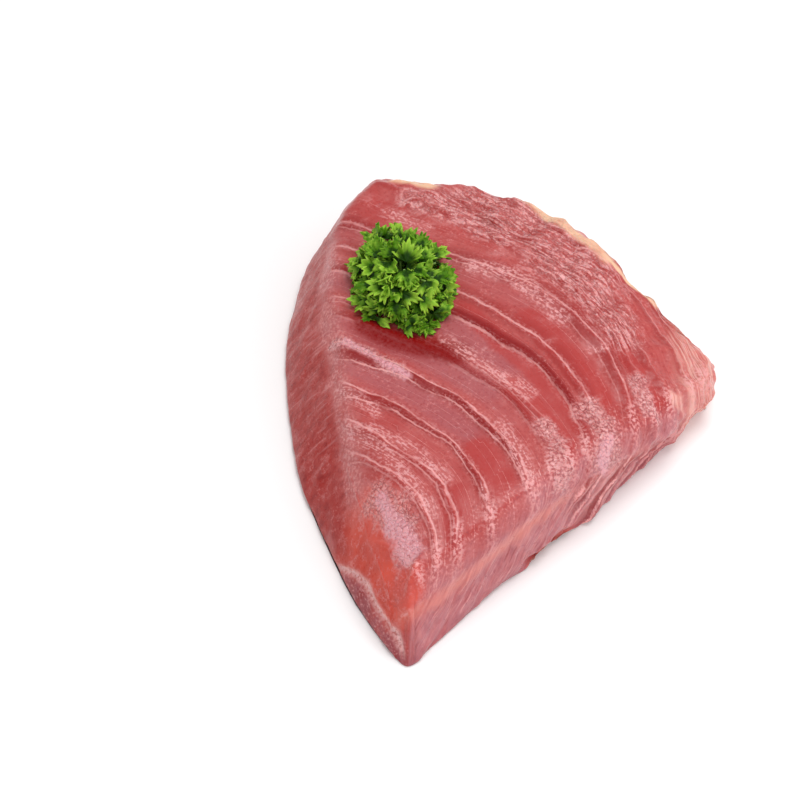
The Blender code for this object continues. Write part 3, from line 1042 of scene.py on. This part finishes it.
def name_noises(look, place, flow):
    """Names the noises that LAYERS uses."""
    wall = look.attribute("wall", "Vector")
    look.named.update(
        wide=look.noise(place, 8, 2),
        patchy=look.noise(place, 4.5, 2),
        flecks=look.noise(place, 0.8, 4),
        mottle=look.noise(look.scaled(place, (1.0, 1.0, 0.4)), 2.2, 4),
        fibre=look.noise(flow, (6, 1.5, 4), 4, 0.6),
        layered=look.noise(flow, (11, 2.4, 5), 3, 0.6),
        flakes=look.noise(flow, (3.6, 1.8, 3), 3, 0.8),
        streaks=look.noise(flow, (2.6, 0.55, 2.6), 5, 0.3),
        sheets=look.noise(wall, (16, 2.4, 5), 4, 0.8),
        strands=look.noise(wall, (7, 0.8, 5), 3, 0.5),
        upright=look.noise(wall, (10, 1.0, 5), 4, 0.4),
        crackle=look.creases(look.noise(place, 1.7, 3, 0.4)),
        cracks=look.cells(look.warped(place, 2.2, 1.1), 1.4),
    )
    flakes, flecks = look.named["flakes"], look.named["flecks"]
    look.named.update(
        torn=look.creases(flakes),
        # Glints and specks: bright marks painted as highlight on the flakes, streaks and seams.
        glints=look.ramp(look.math("ADD", flakes, flecks), 0.96, 1.16),
        specks=look.ramp(look.math("ADD", look.named["streaks"], flecks), 0.94, 1.16),
        cracked=look.math("MAXIMUM", look.product("flaky", 0.5), look.attribute("gloss")),
        near_seam=look.ramp(look.math("ABSOLUTE", look.attribute("gap")), 0.4, 1.8, 1.0, 0.0),
    )


def add_seam_lines(look, base, flow, fine):
    """Pale lines along the seams, partly white seam tissue and partly painted highlight, broken
    here and there, and specks of painted highlight beside them.
    """
    breaks = look.ramp(look.noise(flow, (9, 3, 9), 4), 0.30, 0.60, 0.3, 1.0)
    # The lines fade in the painted shadow of the sprig.
    breaks = look.product(breaks, ("shade", 0.1, 0.7, 1.0, 0.15))
    wobble = look.ramp(fine, 0.3, 0.7, -0.02, -0.22)
    for gap, line in (("gap", "line"), ("twin_gap", "twin")):
        near = look.math("ABSOLUTE", look.math("ADD", look.attribute(gap), wobble))
        thin = look.ramp(near, 0.04, 0.32, 1.0, 0.0)
        beside = look.ramp(near, 0.2, 1.3, 1.0, 0.0)
        base = look.cover(base, LINE, thin, line, breaks, 0.75)
        base = look.cover(base, SILVER_AND_SHEEN, beside, line, "specks", breaks, 0.35)
    return base


def flesh_colour(look, place, flow, fine):
    """Colour of the flesh, from its zones and seams."""
    broad = look.product(look.noise(place, 12, 3), 0.6)
    tone = look.math("ADD", broad, look.product("fibre", 0.4))
    base = look.mix(look.ramp(tone, 0.36, 0.64), RED, PINK)
    for tint, strength, *limits in LAYERS:
        base = look.cover(base, tint, *limits, strength)
    return add_seam_lines(look, base, flow, fine)


def flesh_look():
    look = Look("flesh")
    place = look.node("ShaderNodeTexCoord").outputs["Object"]
    flow = look.attribute("flow", "Vector")
    name_noises(look, place, flow)
    fine = look.noise(flow, (1.5, 0.5, 1.5), 3)
    grain = look.noise(place, 1.1, 4)
    uneven = look.math("MAXIMUM", look.attribute("gloss"), look.attribute("flaky"))
    height = look.product(look.ramp(uneven, 0.0, 1.0, 0.3, 1.0), ("smooth", 0.0, 1.0, 1.0, 0.5))
    normal = look.bump(look.named["fibre"], 0.05)
    normal = look.bump(fine, 0.03, normal)
    normal = look.bump(look.product(grain, height), 0.15, normal)
    normal = look.bump(look.product(("cracks", 0.0, 0.16), uneven), 0.12, normal)
    base = flesh_colour(look, place, flow, fine)
    look.set(Base_Color=base, Normal=normal, Coat_Normal=normal)
    look.set(Roughness=look.ramp(grain, 0.3, 0.7, 0.26, 0.38), Specular_IOR_Level=0.12)
    look.set(Subsurface_Weight=0.3, Subsurface_Radius=(1.0, 0.3, 0.2), Subsurface_Scale=0.003)
    dry = [(zone, 0.0, 1.0, 1.0, least) for zone, least in DRY_ZONES.items()]
    wet = look.product(("gloss", 0.0, 1.0, 0.3, 1.0), *dry)
    look.set(Coat_Weight=wet, Coat_Roughness=0.22, Coat_IOR=1.4)
    return look.material


# ---- parsley

# Leaflets in each layer from the inside out: count, how far out and size.
LEAFLETS = ((34, 0.45, 0.9), (68, 0.74, 1.0), (92, 1.0, 1.0))
LEAFLET_LENGTH = (4.2, 6.7)
# Notches in the sprig's outline: direction and half width in degrees, and depth, below 0 for a
# part that stands out.
NOTCHES = ((12, 14, 0.28), (-112, 15, 0.26), (-40, 22, -0.12))
LEAF_SPREAD = math.radians(72)
LEAF_TEETH, LEAF_LOBES = 9, 3
LEAF_CELLS = (36, 5)
# Ranges of a leaf's depth of teeth and of lobes, number of waves, and curl; and depth of its waves.
TOOTH_DEPTHS, LOBE_DEPTHS = (0.22, 0.34), (0.24, 0.42)
LEAF_WAVES, LEAF_CURLS, RUFFLE = (2.2, 3.4), (-0.40, 0.25), 0.20
LEAF_THICKNESS = 0.2 * MM
# How far leaves reach past their feet, so that the feet stay inside the sprig's outline.
LEAF_REACH = 2.3 * MM
LEAF_SEED = 8
GOLDEN_ANGLE = math.pi * (3 - math.sqrt(5))
STALK_RADIUS = 0.32 * MM
STALK_STEPS, LEAVES_PER_STALK = 6, 4
# Gap between the steak and the sprig.
REST_GAP = 0.35 * MM


def saw(value):
    """0 in the middle of each unit, rising to 1 at both its ends."""
    return np.abs(2 * (value - np.floor(value)) - 1)


def leaflet(draw, length):
    """A toothed, ruffled fan with its stalk at the origin, which reaches along +Y and faces +Z."""
    turn = np.linspace(0.0, 1.0, LEAF_CELLS[0] + 1)[:, None]
    reach = np.linspace(0.0, 1.0, LEAF_CELLS[1] + 1)[None]
    angle = (2 * turn - 1) * LEAF_SPREAD
    tooth = 1 - draw.uniform(*TOOTH_DEPTHS) * saw(turn * LEAF_TEETH)
    lobe = 1 - draw.uniform(*LOBE_DEPTHS) * saw(turn * LEAF_LOBES) ** 2
    shrink = 1 - 0.25 * (angle / LEAF_SPREAD) ** 2
    radius = length * reach * (1 - (1 - tooth * lobe) * reach**2) * shrink
    phase, wave_count = draw.uniform(0, 2 * math.pi), draw.uniform(*LEAF_WAVES)
    ruffle = RUFFLE * reach**1.5 * np.sin(wave_count * angle * 2 + phase)
    curl = draw.uniform(*LEAF_CURLS) * reach**2 + 0.14 * (angle / LEAF_SPREAD) ** 2 * reach
    crease = 0.07 * reach * (saw(turn * LEAF_LOBES) - 0.5)
    z = length * (ruffle + curl + crease)
    return np.stack((radius * np.sin(angle), radius * np.cos(angle), z), -1), reach + 0 * angle


def turned(points, forward, facing):
    """Points turned so that +Y points forward and +Z faces as near to facing as it can."""
    y = forward / np.linalg.norm(forward)
    x = np.cross(y, facing)
    x /= np.linalg.norm(x)
    return points @ np.stack((x, y, np.cross(x, y)))


def leaf_places(draw, count, depth, radii):
    """Foot, growing direction and facing of leaflets spread over a dome."""
    for i in range(count):
        height = 1 - (i + 0.5) / count * 1.02
        level = math.sqrt(max(0.0, 1 - height**2))
        angle = i * GOLDEN_ANGLE + draw.uniform(-0.25, 0.25)
        outward = np.array((level * math.cos(angle), level * math.sin(angle), height))
        down = np.array((math.cos(angle) * height, math.sin(angle) * height, -level))
        sideways = np.cross(outward, down)
        swing = draw.normal(0, 0.8)
        along = down * math.cos(swing) + sideways * math.sin(swing)
        lumpy = 1 + 0.06 * math.sin(3 * angle + 1.0) + 0.04 * math.sin(5 * angle)
        for middle, width, cut in NOTCHES:
            off = (math.degrees(angle) - middle + 180) % 360 - 180
            lumpy -= cut * math.exp(-((off / width) ** 2))
        foot = outward * radii * depth * lumpy * draw.uniform(0.82, 1.04)
        facing = outward + draw.normal(0, 0.30, 3) + np.array((0, 0, 0.4))
        yield foot, along + outward * draw.uniform(0.1, 0.9), facing


def make_leaves(low, high, rest):
    """The sprig's leaflets, in the space between two corners, clear of the surface at rest."""
    draw = np.random.default_rng(LEAF_SEED)
    centre = np.array(((low.x + high.x) / 2, (low.y + high.y) / 2, rest + REST_GAP))
    half = np.array((high.x - low.x, high.y - low.y, 2 * (high.z - centre[2]))) / 2
    points, tips, tones, feet = [], [], [], []
    rows, columns = LEAF_CELLS[0] + 1, LEAF_CELLS[1] + 1
    grid = np.arange(rows * columns).reshape(rows, columns)
    corners = grid[:-1, :-1], grid[:-1, 1:], grid[1:, 1:], grid[1:, :-1]
    quads = np.stack(corners, -1).reshape(-1, 4)
    for count, depth, size in LEAFLETS:
        for foot, forward, facing in leaf_places(draw, count, depth, half - LEAF_REACH):
            length = draw.uniform(*LEAFLET_LENGTH) * MM * size
            leaf, reach = leaflet(draw, length)
            points.append(turned(leaf.reshape(-1, 3), forward, facing) + foot + centre)
            tips.append(reach.ravel())
            tones.append(np.full(rows * columns, draw.uniform(0, 1)))
            feet.append(foot + centre)
    faces = np.concatenate([quads + i * rows * columns for i in range(len(points))])
    points = np.concatenate(points)
    points[:, 2] = rest + REST_GAP + np.maximum(points[:, 2] - rest - REST_GAP, 0.0)
    mesh = bpy.data.meshes.new("parsley_leaves")
    mesh.from_pydata(points.tolist(), [], faces.tolist())
    set_attribute(mesh, "tip", np.concatenate(tips))
    set_attribute(mesh, "tone", np.concatenate(tones))
    mesh.shade_smooth()
    mesh.materials.append(leaf_look())
    leaves = linked("parsley_leaves", mesh)
    shell = leaves.modifiers.new("thickness", "SOLIDIFY")
    shell.thickness, shell.offset = LEAF_THICKNESS, 0.0
    return leaves, centre, feet


def make_stalks(centre, feet):
    """Thin stalks that fan out from under the middle of the sprig to the leaflets."""
    curve = bpy.data.curves.new("parsley_stalks", "CURVE")
    curve.dimensions = "3D"
    curve.bevel_depth, curve.bevel_resolution, curve.use_fill_caps = STALK_RADIUS, 2, True
    start = Vector(centre) + Vector((0, 0, STALK_RADIUS))
    for foot in feet[::LEAVES_PER_STALK]:
        end = Vector(foot)
        middle = start.lerp(end, 0.5) + Vector((0, 0, 0.18 * (end - start).length))
        stalk = curve.splines.new("POLY")
        stalk.points.add(STALK_STEPS)
        for i, point in enumerate(stalk.points):
            t = i / STALK_STEPS
            place = start * (1 - t) ** 2 + middle * 2 * t * (1 - t) + end * t**2
            point.co = (*place, 1.0)
    curve.materials.append(stalk_look())
    return linked("parsley_stalks", curve)


# Leaves darken towards their feet, partly painted shade inside the sprig, and lighten towards their
# tips, partly painted highlight.
LEAF_DARK = colour(26, 58, 2)
LEAF_GREEN = colour(77, 124, 13)
LEAF_BRIGHT = colour(160, 200, 66)


def leaf_look():
    look = Look("parsley_leaf")
    place = look.node("ShaderNodeTexCoord").outputs["Object"]
    patches = look.noise(place, 1.6, 4)
    fine = look.noise(place, 0.35, 3)
    # Dark at the leaflets' feet: partly painted shade.
    grown_and_shaded = look.math("ADD", look.amount(("tip", 0.1, 0.8, -0.25, 0.15)), patches)
    base = look.mix(look.ramp(grown_and_shaded, 0.30, 0.60), LEAF_DARK, LEAF_GREEN)
    # Bright towards the tips: partly painted highlight.
    bright = look.ramp(look.math("ADD", patches, look.product("tone", 0.35)), 0.50, 0.80)
    base = look.cover(base, LEAF_BRIGHT, bright, ("tip", 0.3, 0.9), 0.85)
    look.set(Base_Color=base, Normal=look.bump(fine, 0.06))
    look.set(Roughness=look.ramp(fine, 0.3, 0.7, 0.40, 0.55), Specular_IOR_Level=0.12)
    look.set(Subsurface_Weight=0.25, Subsurface_Radius=(0.5, 1.0, 0.2), Subsurface_Scale=0.001)
    return look.material


def stalk_look():
    look = Look("parsley_stalk")
    place = look.node("ShaderNodeTexCoord").outputs["Object"]
    streak = look.noise(place, (0.4, 0.4, 3), 3)
    look.set(Base_Color=look.mix(streak, colour(96, 140, 44), colour(150, 184, 92)))
    look.set(Roughness=0.45, Normal=look.bump(streak, 0.05))
    return look.material


# ---- view and light


def make_camera():
    data = bpy.data.cameras.new("Camera")
    data.lens = LENS
    data.clip_start, data.clip_end = 0.01, 20
    camera = linked("Camera", data)
    toward = Vector((0, math.cos(ELEVATION), -math.sin(ELEVATION)))
    camera.location = AIM - toward * DISTANCE
    camera.rotation_euler = toward.to_track_quat("-Z", "Y").to_euler()
    bpy.context.scene.camera = camera


def make_softbox(name, direction, distance, size, energy):
    data = bpy.data.lights.new(name, "AREA")
    data.shape = "RECTANGLE"
    data.size, data.size_y = size
    data.energy = energy
    light = linked(name, data)
    away = Vector(direction).normalized()
    light.location = away * distance
    light.rotation_euler = away.to_track_quat("Z", "Y").to_euler()


def make_studio():
    floor_mesh = bpy.data.meshes.new("floor")
    signs = ((-1, -1), (1, -1), (1, 1), (-1, 1))
    corners = [(x * FLOOR_REACH, y * FLOOR_REACH, 0) for x, y in signs]
    floor_mesh.from_pydata(corners, [], [(0, 1, 2, 3)])
    floor = linked("floor", floor_mesh)
    look = Look("white_floor")
    look.set(Base_Color=(0.95, 0.95, 0.95, 1), Roughness=0.7, Specular_IOR_Level=0.2)
    floor_mesh.materials.append(look.material)
    floor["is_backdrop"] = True
    for name, settings in SOFTBOXES.items():
        make_softbox(name, *settings)
    world = bpy.data.worlds.new("studio")
    world.use_nodes = True
    background = world.node_tree.nodes["Background"]
    background.inputs["Color"].default_value = (1, 1, 1, 1)
    background.inputs["Strength"].default_value = WORLD_LIGHT
    bpy.context.scene.world = world
    bpy.context.scene.view_settings.view_transform = "Standard"


def hold(piece, slot, *nodes):
    """Makes a piece ride on the part's one body, in place of CAD nodes."""
    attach(piece, "root")
    if nodes:
        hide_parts(*nodes)


def main():
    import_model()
    cad_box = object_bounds()
    low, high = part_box("tuna_steak")
    hold(make_steak(high.z - low.z), "raw_tuna", "tuna_steak")
    sprig_low, sprig_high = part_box("parsley_sprig")
    leaves, centre, feet = make_leaves(sprig_low, sprig_high, high.z)
    hold(leaves, "parsley_leaf", "parsley_sprig")
    hold(make_stalks(centre, feet), "parsley_leaf")
    make_camera()
    make_studio()
    boxes = {"cad": cad_box, "visual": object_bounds()}
    {name: [list(corner) for corner in box] for name, box in boxes.items()}


main()
